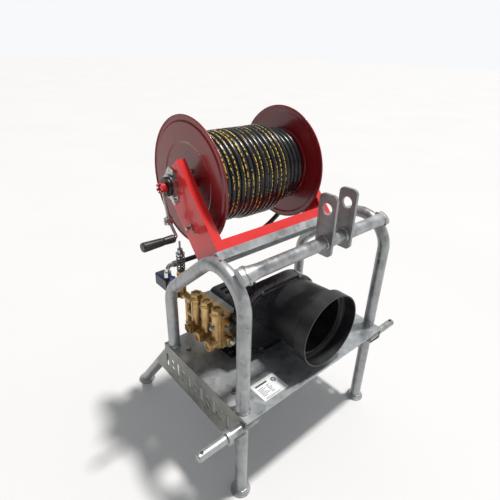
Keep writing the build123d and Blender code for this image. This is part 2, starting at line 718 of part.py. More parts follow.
def plunger_spots():
    return [(COLUMN_X + 34, y, PLUNGER_Z) for y in CYLINDER_Y]


def crankcase_flange():
    """The grey plate between the crankcase and the head, bored for the plungers."""
    plate = block(-217, CRANKCASE_LEFT, CASE_REAR, PUMP_REAR - 6, CRANKCASE_BOTTOM + 6, CRANKCASE_TOP - 8)
    plate = fillet(plate.edges().filter_by(Axis.X), 10)
    for x, y, z in plunger_spots():
        plate -= rod((x - 20, y, z), RIGHT, 9.05, 60)
    return plate


def plungers():
    """Three ceramic plungers, shown at mid-stroke."""
    return group([rod((x, y, z), RIGHT, 9, 30) for x, y, z in plunger_spots()])


def rear_cover():
    """The crankcase's rear bearing cover, with four screws and an oil sight glass."""
    y = PUMP_REAR - 12
    cover = rod((PUMP_X, y, PTO_Z - 20), BACK, 48, 8)
    for turn in range(45, 405, 90):
        angle = math.radians(turn)
        x, z = PUMP_X + 38 * math.cos(angle), PTO_Z - 20 + 38 * math.sin(angle)
        cover += hexagon((x, y + 8, z), BACK, 10, 4)
    return cover


def sight_glass():
    return rod((PUMP_X, PUMP_REAR - 4, PTO_Z - 20), BACK, 12, 4)


def pump_bracket():
    """The folded bracket that lifts the pump off the platform."""
    left, right = CRANKCASE_LEFT + 4, CRANKCASE_RIGHT - 4
    front, rear = CASE_REAR + 8, PUMP_REAR - 16
    bracket = block(left, right, front, rear, CRANKCASE_BOTTOM - 6, CRANKCASE_BOTTOM)
    for x in (left, right - 6):
        bracket += block(x, x + 6, front, rear, PLATE_TOP, CRANKCASE_BOTTOM - 6)
    bracket += block(left - 28, left, front, rear, PLATE_TOP, PLATE_TOP + 6)
    bracket += block(right, right + 28, front, rear, PLATE_TOP, PLATE_TOP + 6)
    return bracket


def bracket_bolts():
    """Bolts that hold the pump's bracket to the platform."""
    bolts = []
    for x in (CRANKCASE_LEFT - 9, CRANKCASE_RIGHT + 9):
        for y in (CASE_REAR + 30, PUMP_REAR - 40):
            bolts.append(hexagon((x, y, PLATE_TOP + 6), UP, 17, 7))
    return bolts


def head_block():
    """The brass head: a block with three round valve columns in front and stubs for the suction caps."""
    head = block(COLUMN_X + 2, -217, CASE_REAR + 6, PUMP_REAR - 2, 458, 592)
    head = fillet(head.edges().filter_by(Axis.X), 7)
    for y in CYLINDER_Y:
        head += rod((COLUMN_X, y, 462), UP, COLUMN_R, 134)
        head += rod((COLUMN_X, y, 588), UP, COLUMN_R + 2.5, 8)
        head += rod((COLUMN_X, y, SUCTION_Z), LEFT, COLUMN_R, 30)
        head -= rod((COLUMN_X + 34, y, PLUNGER_Z), RIGHT, 9.05, 30)
    return head


def column_caps():
    """Hexagonal caps over the delivery valves."""
    caps = []
    for y in CYLINDER_Y:
        cap = rod((COLUMN_X, y, 596), UP, COLUMN_R + 1, 5)
        cap += hexagon((COLUMN_X, y, 601), UP, 38, 13)
        caps.append(cap - rod((COLUMN_X, y, 610), UP, 13, 6))
    return caps


def suction_caps():
    """Hexagonal caps over the suction valves, facing outwards."""
    caps = []
    for y in CYLINDER_Y:
        cap = rod((COLUMN_X - 30, y, SUCTION_Z), LEFT, COLUMN_R + 1, 4)
        cap += hexagon((COLUMN_X - 34, y, SUCTION_Z), LEFT, 37, 10)
        caps.append(cap - rod((COLUMN_X - 41, y, SUCTION_Z), LEFT, 12, 6))
    return caps


def head_bolts():
    """Socket screws between the columns and at the head's ends."""
    bolts = []
    for y in (254.5, 315.5):
        for z in (505, 536, 572):
            screw = rod((COLUMN_X + 2, y, z), LEFT, 6.5, 8)
            socket = hexagon((COLUMN_X - 3, y, z), LEFT, 6, 5)
            bolts.append(screw - socket)
    return bolts


def front_plugs():
    """Steel plugs in the head's front end and on the nearest column."""
    y = CASE_REAR + 6
    upper = hexagon((COLUMN_X + 18, y, 545), FORWARD, 17, 9)
    lower = hexagon((COLUMN_X + 28, y, 474), FORWARD, 22, 11)
    side = rod((COLUMN_X - COLUMN_R + 2, CYLINDER_Y[0] - 3, 545), LEFT, 8, 9)
    side += hexagon((COLUMN_X - COLUMN_R - 7, CYLINDER_Y[0] - 3, 545), LEFT, 12, 4)
    side -= rod((COLUMN_X, CYLINDER_Y[0], 462), UP, COLUMN_R, 134)
    return [upper, lower, side]


def relief_valve():
    """A small brass safety valve with a black cap, in the head's front end."""
    y = CASE_REAR + 6
    body = hexagon((COLUMN_X + 19, y, 566), FORWARD, 18, 8)
    body += rod((COLUMN_X + 19, y - 8, 566), FORWARD, 7.5, 12)
    return body


def relief_cap():
    return rod((COLUMN_X + 19, CASE_REAR - 14, 566), FORWARD, 8.5, 10)


def thermal_valve():
    """The brass overheating valve low on the head's front, with its cream plastic end."""
    y = CASE_REAR + 6
    body = rod((-243, y, 500), FORWARD, 10, 14)
    body += rod((-243, y - 14, 488), UP, 9, 24)
    body += rod((-243, y - 14, 500), FORWARD, 8, 14)
    return body


def thermal_end():
    return rod((-243, CASE_REAR - 22, 500), FORWARD, 7, 10)


def suction_tee():
    """The brass water inlet at the head's rear."""
    y = PUMP_REAR - 2
    tee = rod((COLUMN_X + 16, y, SUCTION_Z + 10), BACK, 13, 46)
    tee += rod((COLUMN_X + 16, y + 58, 436), UP, 13, 92)
    tee += rod((COLUMN_X + 16, y + 44, SUCTION_Z + 10), BACK, 13, 14)
    tee += hexagon((COLUMN_X + 16, y + 58, 528), UP, 26, 8)
    return tee


def inlet_cap():
    return hexagon((COLUMN_X + 16, PUMP_REAR + 56, 436), DOWN, 30, 12)


def oil_neck():
    return rod((-60, 318, CRANKCASE_TOP - 4), UP, 15, 42)


def oil_cap():
    """The ribbed breather cap."""
    cap = rod((-60, 318, 638), UP, 26, 12)
    for turn in range(0, 360, 20):
        angle = math.radians(turn)
        cap += rod((-60 + 26 * math.cos(angle), 318 + 26 * math.sin(angle), 638), UP, 2.5, 12)
    return cap + Pos(-60, 318, 650) * Cone(26, 14, 6, align=MIN_Z)


# ---- pressure regulator and outlet --------------------------------------------------
def delivery_elbow():
    """The brass passage from the head's delivery port to the regulator."""
    y0 = PUMP_REAR - 2
    body = rod((UNLOADER_X, y0 - 3, 570), BACK, 14, UNLOADER_Y - y0 + 3)
    body += rod((UNLOADER_X, UNLOADER_Y, 552), UP, 15, 80)
    body += rod((UNLOADER_X, UNLOADER_Y, 566), LEFT, 12, 17)
    body -= block(COLUMN_X + 2, -217, CASE_REAR, PUMP_REAR - 2, 458, 592)
    return body + rod((UNLOADER_X, UNLOADER_Y, 575), BACK, 11, 40)


def delivery_plug():
    """The brown plug on the outer side of the passage."""
    return rod((UNLOADER_X - 17, UNLOADER_Y, 566), LEFT, 10, 8)


def unloader_body():
    """The regulator's brass body and guide rod, threaded at the top."""
    body = hexagon((UNLOADER_X, UNLOADER_Y, 632), UP, 34, 20)
    body += rod((UNLOADER_X, UNLOADER_Y, 652), UP, 15, 12)
    return body


def unloader_rod():
    return rod((UNLOADER_X, UNLOADER_Y, 664), UP, 3.8, 118)


SPRING_BOTTOM, SPRING_TOP = 664.0, 731.0
SPRING_R = 13.5
SPRING_WIRE = 2.3
SPRING_TURNS = 6


def unloader_spring():
    """The regulator's coil spring."""
    tall = SPRING_TOP - SPRING_BOTTOM - 2 * SPRING_WIRE
    helix = Helix(pitch=tall / SPRING_TURNS, height=tall, radius=SPRING_R)
    coil = sweep(Plane(origin=helix @ 0, z_dir=helix % 0) * Circle(SPRING_WIRE), path=helix, is_frenet=True)
    return Pos(UNLOADER_X, UNLOADER_Y, SPRING_BOTTOM + SPRING_WIRE) * coil


def spring_plate():
    return pipe((UNLOADER_X, UNLOADER_Y, SPRING_TOP), UP, 16, 4.9, 5)


def unloader_nut():
    """The adjusting nut and its lock ring."""
    nut = hexagon((UNLOADER_X, UNLOADER_Y, SPRING_TOP + 5), UP, 19, 16)
    return nut - rod((UNLOADER_X, UNLOADER_Y, SPRING_TOP), UP, 4.7, 40)


def ball_valve():
    """The outlet's ball valve, between the regulator and the valve block."""
    body = hexagon((UNLOADER_X, UNLOADER_Y + 40, 575), BACK, 26, VALVE_BLOCK_FRONT - UNLOADER_Y - 40)
    body += rod((UNLOADER_X, UNLOADER_Y + 62, 575), UP, 8, 16)
    return body


def valve_knob():
    """The blue valve handle, turned a quarter between open and shut."""
    z = 591.0
    bar = Pos(UNLOADER_X, UNLOADER_Y + 62, z + 6.3) * Box(16, 44, 12)
    bar = fillet(bar.edges().filter_by(Axis.Z), 7)
    return bar + Pos(UNLOADER_X, UNLOADER_Y + 62, z + 12.3) * Cylinder(9, 4, align=MIN_Z)


def valve_block():
    """The outlet block that carries the hose's elbow."""
    body = block(UNLOADER_X - 22, UNLOADER_X + 22, VALVE_BLOCK_FRONT, VALVE_BLOCK_REAR, 537, 589)
    return chamfer(body.edges().filter_by(Axis.Y), 4)


ELBOW_Z = 637.0
ELBOW_Y = 530.0


def elbow_end():
    return (UNLOADER_X + 25, ELBOW_Y + 8, ELBOW_Z)


def outlet_elbow():
    """The bright swept elbow on top of the valve block, with its union nut."""
    x, y = UNLOADER_X, ELBOW_Y + 8
    nut = hexagon((x, y, 589), UP, 27, 24)
    bend = swept([(x, y, 613), (x, y, ELBOW_Z), (x + 25, y, ELBOW_Z)], 17, 9)
    return nut + bend


# ---- small fittings -----------------------------------------------------------------
def rating_plate():
    return block(-258, -154, -23, 55, PLATE_TOP, PLATE_TOP + 0.8)


def platform_bolts():
    """Bolts near the left legs and their twins on the right."""
    bolts = []
    for x in (-309, 309):
        for y in (70, 338):
            bolts.append(rod((x, y, PLATE_TOP), UP, 11, 2) + hexagon((x, y, PLATE_TOP + 2), UP, 17, 7))
    return bolts


# ---- writing ------------------------------------------------------------------------
def nodes():
    """Every sub-part by name."""
    return {
        "hoop_left": hoop(-HOOP_X),
        "hoop_right": hoop(HOOP_X),
        "rear_legs": group([rear_leg(-HOOP_X), rear_leg(HOOP_X)]),
        "feet": group([foot(x, y) for x in (-HOOP_X, HOOP_X) for y in (0, REAR_FOOT_Y)]),
        "platform": platform(),
        "skirt_left": skirt(-1),
        "skirt_right": skirt(1),
        "weld_beads": weld_beads(),
        "crossbar": crossbar(),
        "link_plates": link_plates(),
        "hitch_pin_left": hitch_pin(-1),
        "hitch_pin_right": hitch_pin(1),
        "reel_channel": reel_channel(),
        "reel_stand": reel_stand(),
        "bearing_flanges": bearing_flanges(),
        "bearing_inserts": bearing_inserts(),
        "bearing_bolts": bearing_bolts(),
        "stand_bolts": stand_bolts(),
        "brake_housing": brake_housing(),
        "brake_plunger": brake_plunger(),
        "reel_shaft": reel_shaft(),
        "reel_drum": group([reel_drum()] + drum_flanges()),
        "disc_left": disc_with_holes(DISC_LEFT, -1),
        "disc_right": disc_with_holes(DISC_RIGHT, 1),
        "disc_bolts": disc_bolts(),
        "hose_pack": hose_pack(),
        "crank_rods": group([crank_arm(), crank_rod()]),
        "crank_joint": crank_joint(),
        "crank_grip": crank_grip(),
        "swivel": swivel(),
        "feed_fittings": feed_fittings(),
        "feed_hose": feed_hose(),
        "gearbox_case": gearbox_case(),
        "gearbox_cover": gearbox_cover(),
        "cover_bolts": cover_bolts(),
        "input_gear": input_gear(),
        "input_shaft": input_shaft(),
        "pinion": pinion(),
        "pump_crankshaft": pump_crankshaft(),
        "pto_guard": pto_guard(),
        "guard_ring": guard_ring(),
        "crankcase": crankcase(),
        "crankcase_flange": crankcase_flange(),
        "crankcase_details": group([rear_cover(), oil_neck()]),
        "pump_bracket": pump_bracket(),
        "platform_fasteners": group(platform_bolts() + bracket_bolts()),
        "pump_head": head_block(),
        "valve_caps": group(column_caps() + suction_caps()),
        "head_screws": group(head_bolts() + front_plugs()),
        "plungers": plungers(),
        "brass_fittings": group([suction_tee(), delivery_elbow(), relief_valve(), thermal_valve(),
                                 unloader_body(), ball_valve(), inlet_cap()]),
        "plastic_caps": group([oil_cap(), relief_cap(), thermal_end(), sight_glass(), delivery_plug()]),
        "unloader_spring": unloader_spring(),
        "spring_plate": spring_plate(),
        "unloader_nut": unloader_nut(),
        "valve_knob": valve_knob(),
        "valve_block": valve_block(),
        "bright_fittings": group([outlet_elbow(), unloader_rod()]),
        "rating_plate": rating_plate(),
    }


def finish(shape):
    """Moves a sub-part so that the origin is the middle of the machine's footprint."""
    return Pos(-FOOTPRINT_MIDDLE_X, -FOOTPRINT_MIDDLE_Y, 0) * shape


os.makedirs("parts", exist_ok=True)
for name, shape in nodes().items():
    export_step(finish(shape), f"parts/{name}.step")
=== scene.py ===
import math
import bpy
from mathutils import Matrix, Vector, noise


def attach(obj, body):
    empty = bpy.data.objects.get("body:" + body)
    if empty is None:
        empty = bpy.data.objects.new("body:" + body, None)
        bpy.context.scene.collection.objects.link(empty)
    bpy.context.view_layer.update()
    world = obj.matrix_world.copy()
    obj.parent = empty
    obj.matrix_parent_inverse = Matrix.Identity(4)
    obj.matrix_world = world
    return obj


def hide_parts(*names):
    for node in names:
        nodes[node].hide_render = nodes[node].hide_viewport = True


# The look of a tractor-mounted high-pressure drain jetter around its CAD frame, in metres.

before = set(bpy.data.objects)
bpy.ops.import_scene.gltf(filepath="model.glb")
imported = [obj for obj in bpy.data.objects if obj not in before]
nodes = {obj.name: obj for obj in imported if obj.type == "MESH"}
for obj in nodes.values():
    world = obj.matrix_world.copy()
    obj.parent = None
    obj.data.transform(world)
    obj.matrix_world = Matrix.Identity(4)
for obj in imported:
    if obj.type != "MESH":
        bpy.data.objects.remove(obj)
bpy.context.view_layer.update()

TAU = 2 * math.pi
FOOTPRINT_MIDDLE_X, FOOTPRINT_MIDDLE_Y = -24.5, 332      # as in the CAD source, in millimetres


def at(x, y, z):
    """A point given in millimetres as the CAD source is drawn, with Y = 0 on the front legs."""
    return Vector(((x - FOOTPRINT_MIDDLE_X) / 1000, (y - FOOTPRINT_MIDDLE_Y) / 1000, z / 1000))


# ---- camera -------------------------------------------------------------------------
CAMERA_PLACE = (-908.2, -660.1, 1395.0)
CAMERA_TURN = (0.72691, 0.47332, 0.02821)     # yaw, pitch and roll, in radians
CAMERA_LENS = 28.816


def set_camera():
    yaw, pitch, roll = CAMERA_TURN
    forward = Vector((math.sin(yaw) * math.cos(pitch), math.cos(yaw) * math.cos(pitch), -math.sin(pitch)))
    level = Vector((math.cos(yaw), -math.sin(yaw), 0))
    upward = level.cross(forward)
    right = level * math.cos(roll) + upward * math.sin(roll)
    up = upward * math.cos(roll) - level * math.sin(roll)
    turn = Matrix((right, up, -forward)).transposed().to_4x4()
    data = bpy.data.cameras.new("camera")
    data.sensor_width = 36
    data.lens = CAMERA_LENS
    data.clip_start = 0.05
    data.clip_end = 200
    camera = bpy.data.objects.new("camera", data)
    camera.matrix_world = Matrix.Translation(at(*CAMERA_PLACE)) @ turn
    bpy.context.scene.collection.objects.link(camera)
    bpy.context.scene.camera = camera


set_camera()


# ---- feed hose's line ---------------------------------------------------------------
FEED_ROUTE = [
    (-199, 538, 637), (-90, 538, 637), (30, 490, 655), (130, 430, 720), (205, 400, 800),
    (227, 378, 870), (227, 378, 932),
]


def feed_line():
    """Points along the smooth line that the feed hose follows, read from the spline of its route."""
    data = bpy.data.curves.new("feed_hose_line", "CURVE")
    data.dimensions = "3D"
    data.resolution_u = 24
    spline = data.splines.new("NURBS")
    spline.points.add(len(FEED_ROUTE) - 1)
    for point, place in zip(spline.points, FEED_ROUTE):
        point.co = (*at(*place), 1)
    spline.order_u = 3
    spline.use_endpoint_u = True
    line = bpy.data.objects.new("feed_hose_line", data)
    bpy.context.scene.collection.objects.link(line)
    bpy.context.view_layer.update()
    evaluated = line.evaluated_get(bpy.context.evaluated_depsgraph_get())
    mesh = bpy.data.meshes.new_from_object(evaluated)
    points = [vertex.co.copy() for vertex in mesh.vertices]
    bpy.data.objects.remove(line)
    bpy.data.curves.remove(data)
    bpy.data.meshes.remove(mesh)
    return points


feed_path = feed_line()


# ---- materials ----------------------------------------------------------------------
class Finish:
    """A procedural material, built up from its Principled shader."""

    def __init__(self, name, **values):
        self.material = bpy.data.materials.new(name)
        self.material.use_nodes = True
        self.tree = self.material.node_tree
        self.shader = self.tree.nodes["Principled BSDF"]
        self.place = self.node("ShaderNodeTexCoord").outputs["Object"]
        for key, value in values.items():
            self.put(self.shader, key.replace("_", " "), value)

    def put(self, node, socket, value):
        target = node.inputs[socket]
        if isinstance(value, bpy.types.NodeSocket):
            self.tree.links.new(value, target)
        elif isinstance(value, tuple) and len(value) == 3 and target.type == "RGBA":
            target.default_value = (*value, 1)
        else:
            target.default_value = value

    def node(self, kind, inputs=None, **settings):
        made = self.tree.nodes.new(kind)
        for key, value in settings.items():
            setattr(made, key, value)
        for key, value in (inputs or {}).items():
            self.put(made, key, value)
        return made

    def stretched(self, x, y, z, source=None):
        """Coordinates scaled apart, so that a pattern is drawn out one way."""
        inputs = {"Vector": source or self.place, "Scale": (x, y, z)}
        return self.node("ShaderNodeMapping", inputs).outputs["Vector"]

    def noise(self, scale, detail=4.0, place=None, rough=0.5):
        inputs = {"Vector": place or self.place, "Scale": scale, "Detail": detail, "Roughness": rough}
        return self.node("ShaderNodeTexNoise", inputs).outputs["Fac"]

    def cells(self, scale, place=None):
        """One random value for each cell of a crystal pattern."""
        inputs = {"Vector": place or self.place, "Scale": scale, "Randomness": 1.0}
        colour = self.node("ShaderNodeTexVoronoi", inputs).outputs["Color"]
        return self.node("ShaderNodeSeparateColor", {"Color": colour}).outputs["Red"]

    def wave(self, scale, place, direction="X"):
        inputs = {"Vector": place, "Scale": scale}
        return self.node("ShaderNodeTexWave", inputs, bands_direction=direction).outputs["Fac"]

    def span(self, value, from_low, from_high, to_low=0.0, to_high=1.0):
        """The value moved from one range to another, and kept within it."""
        inputs = {"Value": value, "From Min": from_low, "From Max": from_high,
                  "To Min": to_low, "To Max": to_high}
        return self.node("ShaderNodeMapRange", inputs).outputs["Result"]

    def maths(self, operation, first, second):
        made = self.node("ShaderNodeMath", operation=operation)
        self.put_index(made, 0, first)
        self.put_index(made, 1, second)
        return made.outputs["Value"]

    def put_index(self, node, index, value):
        if isinstance(value, bpy.types.NodeSocket):
            self.tree.links.new(value, node.inputs[index])
        else:
            node.inputs[index].default_value = value

    def blend(self, factor, first, second):
        """The first colour at a factor of 0 and the second at 1."""
        made = self.node("ShaderNodeMix", data_type="RGBA")
        for index, value in ((0, factor), (6, first), (7, second)):
            if isinstance(value, tuple):
                value = (*value, 1)
            self.put_index(made, index, value)
        return made.outputs[2]

    def bump(self, height, strength=0.3, distance=0.0005, under=None):
        inputs = {"Height": height, "Strength": strength, "Distance": distance}
        if under is not None:
            inputs["Normal"] = under
        return self.node("ShaderNodeBump", inputs).outputs["Normal"]

    def axis(self, name):
        return self.node("ShaderNodeSeparateXYZ", {"Vector": self.place}).outputs[name]

    def facing_up(self):
        normal = self.node("ShaderNodeNewGeometry").outputs["Normal"]
        return self.node("ShaderNodeSeparateXYZ", {"Vector": normal}).outputs["Z"]

    def inside(self, low, high):
        """1 inside a box of the row's frame, 0 outside."""
        mask = None
        for name, start, end in zip("XYZ", low, high):
            value = self.axis(name)
            part = self.maths("MULTIPLY", self.maths("GREATER_THAN", value, start),
                              self.maths("LESS_THAN", value, end))
            mask = part if mask is None else self.maths("MULTIPLY", mask, part)
        return mask

    def set(self, **values):
        for key, value in values.items():
            self.put(self.shader, key.replace("_", " "), value)
        return self.material


def galvanised(name, dark=(0.20, 0.205, 0.21), light=(0.43, 0.44, 0.45), grain=75, crystals=0.4):
    """Hot-dip galvanised steel: crystals, cloudy patches and run marks."""
    f = Finish(name, Metallic=0.6)
    cloud = f.noise(9, 6, None, 0.6)
    grains = f.cells(grain)
    runs = f.noise(34, 3, f.stretched(1, 1, 0.12))
    fine = f.noise(420, 3)
    colour = f.blend(f.span(cloud, 0.36, 0.64), dark, light)
    colour = f.blend(f.span(grains, 0, 1, 0, crystals), colour, (0.58, 0.59, 0.60))
    colour = f.blend(f.span(runs, 0.55, 0.75, 0, 0.5), colour, (0.15, 0.155, 0.155))
    rough = f.maths("ADD", f.span(grains, 0, 1, 0.27, 0.42), f.span(cloud, 0.3, 0.7, -0.05, 0.10))
    normal = f.bump(cloud, 0.5, 0.0012)
    normal = f.bump(fine, 0.25, 0.0003, normal)
    return f.set(Base_Color=colour, Roughness=rough, Normal=normal)


def weld_metal(name):
    """Galvanised weld: rippled and lumpy."""
    f = Finish(name, Metallic=0.75)
    lumps = f.noise(130, 3)
    fine = f.noise(600, 3)
    colour = f.blend(f.span(lumps, 0.35, 0.65), (0.26, 0.265, 0.27), (0.60, 0.61, 0.61))
    normal = f.bump(lumps, 0.9, 0.002)
    normal = f.bump(fine, 0.4, 0.0004, normal)
    return f.set(Base_Color=colour, Roughness=f.span(fine, 0.3, 0.7, 0.25, 0.45), Normal=normal)


def red_paint(name, deep, bright, dust):
    """Glossy red enamel with orange peel, dust and small scuffs."""
    f = Finish(name, Metallic=0.0)
    f.shader.inputs["Coat Weight"].default_value = 0.35
    f.shader.inputs["Coat Roughness"].default_value = 0.06
    cloud = f.noise(5, 4)
    peel = f.noise(380, 2)
    scuffs = f.noise(60, 8, f.stretched(1, 0.6, 0.8), 0.7)
    colour = f.blend(f.span(cloud, 0.35, 0.65), deep, bright)
    colour = f.blend(f.span(f.facing_up(), 0.3, 1.0, 0, dust), colour, (0.62, 0.40, 0.36))
    colour = f.blend(f.span(scuffs, 0.74, 0.80, 0, 0.3), colour, (0.10, 0.02, 0.02))
    rough = f.span(cloud, 0.35, 0.65, 0.24, 0.34)
    return f.set(Base_Color=colour, Roughness=rough, Normal=f.bump(peel, 0.12, 0.0004))


def black_enamel(name, base, dust, rough, peel, lumps):
    """Black paint on a casting, with dust on its upper faces."""
    f = Finish(name, Metallic=0.0)
    f.shader.inputs["Coat Weight"].default_value = 0.25
    f.shader.inputs["Coat Roughness"].default_value = 0.12
    skin = f.noise(peel, 3)
    patches = f.noise(14, 6, None, 0.65)
    colour = f.blend(f.span(patches, 0.4, 0.7, 0, 0.5), base, tuple(3 * part for part in base))
    dusty = f.maths("MULTIPLY", f.span(f.facing_up(), 0.2, 1.0), f.span(patches, 0.35, 0.65))
    colour = f.blend(f.span(dusty, 0, 1, 0, dust), colour, (0.42, 0.40, 0.37))
    return f.set(Base_Color=colour, Roughness=f.span(patches, 0.35, 0.65, *rough),
                 Normal=f.bump(skin, lumps, 0.0006))


def black_plastic(name, base=(0.010, 0.010, 0.013), rough=(0.34, 0.52), dust=0.03):
    """Matt moulded plastic with a fine grain and scuffs."""
    f = Finish(name, Metallic=0.0)
    grain = f.noise(700, 2)
    rub = f.noise(22, 7, f.stretched(1, 0.35, 1), 0.65)
    colour = f.blend(f.span(rub, 0.45, 0.75, 0, 0.45), base, (0.030, 0.030, 0.034))
    dusty = f.maths("MULTIPLY", f.span(f.facing_up(), 0.3, 1.0), f.span(rub, 0.3, 0.6))
    colour = f.blend(f.span(dusty, 0, 1, 0, dust), colour, (0.40, 0.38, 0.35))
    return f.set(Base_Color=colour, Roughness=f.span(rub, 0.35, 0.7, *rough),
                 Normal=f.bump(grain, 0.2, 0.0003))


def bright_metal(name, colour, rough, grain, depth, dull):
    """Plated or cast metal: base colour with a duller shade in patches."""
    f = Finish(name, Metallic=1.0)
    patches = f.noise(grain, 5, None, 0.6)
    fine = f.noise(grain * 8, 3)
    shade = tuple(part * dull for part in colour)
    mixed = f.blend(f.span(patches, 0.38, 0.68), colour, shade)
    return f.set(Base_Color=mixed, Roughness=f.span(patches, 0.3, 0.7, *rough),
                 Normal=f.bump(fine, depth, 0.0004))


def brass_casting(name):
    """Forged brass with a grainy skin, tarnish and darker hollows."""
    f = Finish(name, Metallic=0.88)
    skin = f.noise(650, 3)
    tarnish = f.noise(40, 6, None, 0.65)
    colour = f.blend(f.span(tarnish, 0.35, 0.68), (0.62, 0.42, 0.19), (0.36, 0.225, 0.09))
    colour = f.blend(f.span(f.noise(11, 3), 0.55, 0.75, 0, 0.35), colour, (0.72, 0.54, 0.30))
    return f.set(Base_Color=colour, Roughness=f.span(tarnish, 0.3, 0.7, 0.26, 0.46),
                 Normal=f.bump(skin, 0.35, 0.0005))


PRINT_AROUND = 0.32          # where the printed line runs, as a share of the way round the hose
PRINT_END = 12.9             # metres of the wound hose that show their print


def hose_rubber(name):
    """Smooth black hose rubber with a faint cloth wrap and a broken yellow line printed along it."""
    f = Finish(name, Metallic=0.0)
    run = f.node("ShaderNodeUVMap").outputs["UV"]
    wrap = f.noise(1, 2, f.stretched(900, 26, 1, run))
    scuff = f.noise(3, 6, f.stretched(22, 3, 1, run), 0.65)
    colour = f.blend(f.span(scuff, 0.4, 0.75, 0, 0.6), (0.010, 0.010, 0.012), (0.040, 0.040, 0.044))
    parts = f.node("ShaderNodeSeparateXYZ", {"Vector": run})
    drift = f.noise(1, 1, f.stretched(1.3, 0, 0, run))
    line = f.maths("ADD", parts.outputs["Y"], f.span(drift, 0.3, 0.7, -0.11, 0.11))
    off = f.maths("ABSOLUTE", f.maths("SUBTRACT", line, PRINT_AROUND), 0)
    edge = f.noise(1, 2, f.stretched(520, 30, 1, run))
    band = f.maths("LESS_THAN", off, f.span(edge, 0.35, 0.65, 0.016, 0.036))
    marks = f.maths("GREATER_THAN", f.noise(1, 0, f.stretched(135, 9, 0, run)), 0.49)
    words = f.maths("GREATER_THAN", f.noise(1, 0, f.stretched(13, 0, 0, run)), 0.43)
    on_top = f.maths("LESS_THAN", parts.outputs["X"], PRINT_END)
    ink = f.maths("MULTIPLY", f.maths("MULTIPLY", band, marks), f.maths("MULTIPLY", words, on_top))
    colour = f.blend(ink, colour, (0.80, 0.55, 0.05))
    return f.set(Base_Color=colour, Roughness=f.span(scuff, 0.3, 0.7, 0.20, 0.36),
                 Normal=f.bump(wrap, 0.12, 0.0003))


def small_plastics(name):
    """Small plastic pieces that share a node: black, a cream valve end, a brown plug, an amber glass."""
    f = Finish(name, Metallic=0.0)
    skin = f.noise(500, 3)
    patches = f.noise(60, 4)
    colour = f.blend(f.span(patches, 0.4, 0.7), (0.012, 0.012, 0.013), (0.035, 0.035, 0.036))
    cream = f.blend(f.span(patches, 0.4, 0.7), (0.74, 0.68, 0.50), (0.60, 0.53, 0.38))
    brown = f.blend(f.span(patches, 0.4, 0.7), (0.16, 0.055, 0.022), (0.09, 0.03, 0.012))
    amber = f.blend(f.span(patches, 0.4, 0.7), (0.55, 0.42, 0.20), (0.30, 0.20, 0.08))
    colour = f.blend(f.inside((-0.25, -0.20, 0.48), (-0.19, -0.15, 0.52)), colour, cream)
    colour = f.blend(f.inside((-0.30, 0.08, 0.54), (-0.22, 0.13, 0.60)), colour, brown)
    colour = f.blend(f.inside((-0.11, 0.03, 0.50), (-0.05, 0.06, 0.57)), colour, amber)
    return f.set(Base_Color=colour, Roughness=f.span(patches, 0.3, 0.7, 0.28, 0.45),
                 Normal=f.bump(skin, 0.1, 0.0003))


def plain_gloss(name, low, high, rough, grain=120, depth=0.1, coat=0.0):
    """Moulded or ceramic surface in two close shades."""
    f = Finish(name, Metallic=0.0)
    f.shader.inputs["Coat Weight"].default_value = coat
    patches = f.noise(grain, 5, None, 0.6)
    colour = f.blend(f.span(patches, 0.38, 0.66), low, high)
    return f.set(Base_Color=colour, Roughness=f.span(patches, 0.3, 0.7, *rough),
                 Normal=f.bump(f.noise(grain * 7, 2), depth, 0.0003))


def threaded_chrome(name):
    """Bright fittings; the regulator's rod is threaded."""
    f = Finish(name, Metallic=1.0)
    smudge = f.noise(50, 5)
    thread = f.wave(125, f.place, "Z")
    on_rod = f.inside((-0.246, 0.096, 0.66), (-0.229, 0.114, 0.80))
    colour = f.blend(f.span(smudge, 0.35, 0.7), (0.80, 0.80, 0.80), (0.55, 0.55, 0.56))
    # The thread's grooves are darkened in colour: painted shade in the grooves.
    groove_painted_shade = f.maths("MULTIPLY", on_rod, f.span(thread, 0.2, 0.8, 0.1, 0.75))
    colour = f.blend(groove_painted_shade, colour, (0.16, 0.14, 0.12))
    normal = f.bump(f.maths("MULTIPLY", thread, on_rod), 0.8, 0.0008)
    return f.set(Base_Color=colour, Roughness=f.span(smudge, 0.3, 0.7, 0.10, 0.28), Normal=normal)


def pale_floor(name):
    """A plain pale floor with the faintest clouding."""
    f = Finish(name, Metallic=0.0)
    cloud = f.noise(0.8, 3)
    colour = f.blend(f.span(cloud, 0.3, 0.7), (0.68, 0.68, 0.68), (0.66, 0.66, 0.66))
    return f.set(Base_Color=colour, Roughness=0.75)


def paint(finish, *names):
    """Gives one finish to several of the CAD frame's nodes."""
    for name in names:
        slots = nodes[name].data.materials
        slots.clear()
        slots.append(finish)


tube_zinc = galvanised("galvanised_tube", grain=60)
# Lighter, bluer copy of the galvanised finish for the platform: partly its own tone, partly painted light of
# the sun on it.
plate_zinc_painted_light = galvanised("galvanised_plate_painted_light", (0.33, 0.355, 0.37), (0.46, 0.49, 0.51), 38, 0.3)
# Darker, browner copy of the galvanised finish for the side plates: painted shade on their outer faces.
skirt_zinc_painted_shade = galvanised("galvanised_side_plate_painted_shade", (0.17, 0.17, 0.15), (0.28, 0.28, 0.25), 50, 0.15)
# Lighter copy of the galvanised finish for the reel channel: painted light of the sun on its front face.
channel_zinc_painted_light = galvanised("galvanised_channel_painted_light", (0.32, 0.33, 0.34), (0.52, 0.53, 0.54), 45, 0.3)
# Darker copy of the galvanised finish for the link plates: painted shade on their side faces.
ear_zinc_painted_shade = galvanised("galvanised_ears_painted_shade", (0.22, 0.225, 0.23), (0.32, 0.325, 0.33), 65, 0.2)
weld_zinc = weld_metal("galvanised_weld")
stand_red = red_paint("stand_red", (0.66, 0.012, 0.014), (0.80, 0.020, 0.020), 0.04)
